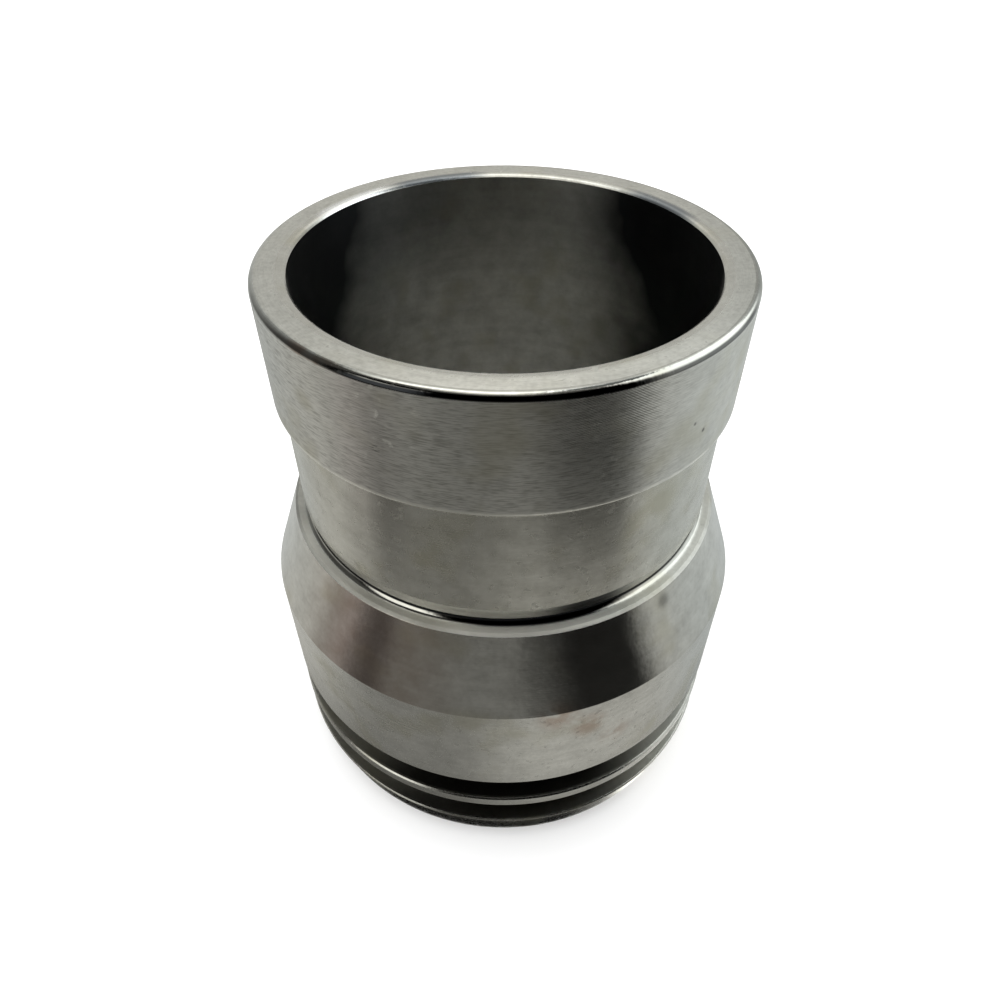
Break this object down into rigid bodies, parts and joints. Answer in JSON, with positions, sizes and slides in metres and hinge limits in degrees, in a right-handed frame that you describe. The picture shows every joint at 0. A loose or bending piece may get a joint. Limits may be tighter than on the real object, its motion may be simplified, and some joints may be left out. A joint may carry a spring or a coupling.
{
  "type": "injector sleeve",
  "caption": "Turned steel injector sleeve: plain guide band and neck, undercut ledge, cone to a wider body with empty seal grooves, tapered foot and straight through bore.",
  "frame": {"origin": "centre of the foot face, on the bore axis", "axes": "+Z along the bore axis, from the grooved foot towards the plain guide end; X and Y are arbitrary, the sleeve is round"},
  "size_m": [0.0463, 0.0462, 0.053],
  "materials": {
    "turned_steel": "fine turned, bright, bare metal"
  },
  "bodies": {
    "root": {"sleeve": "turned_steel"}
  },
  "joints": []
}
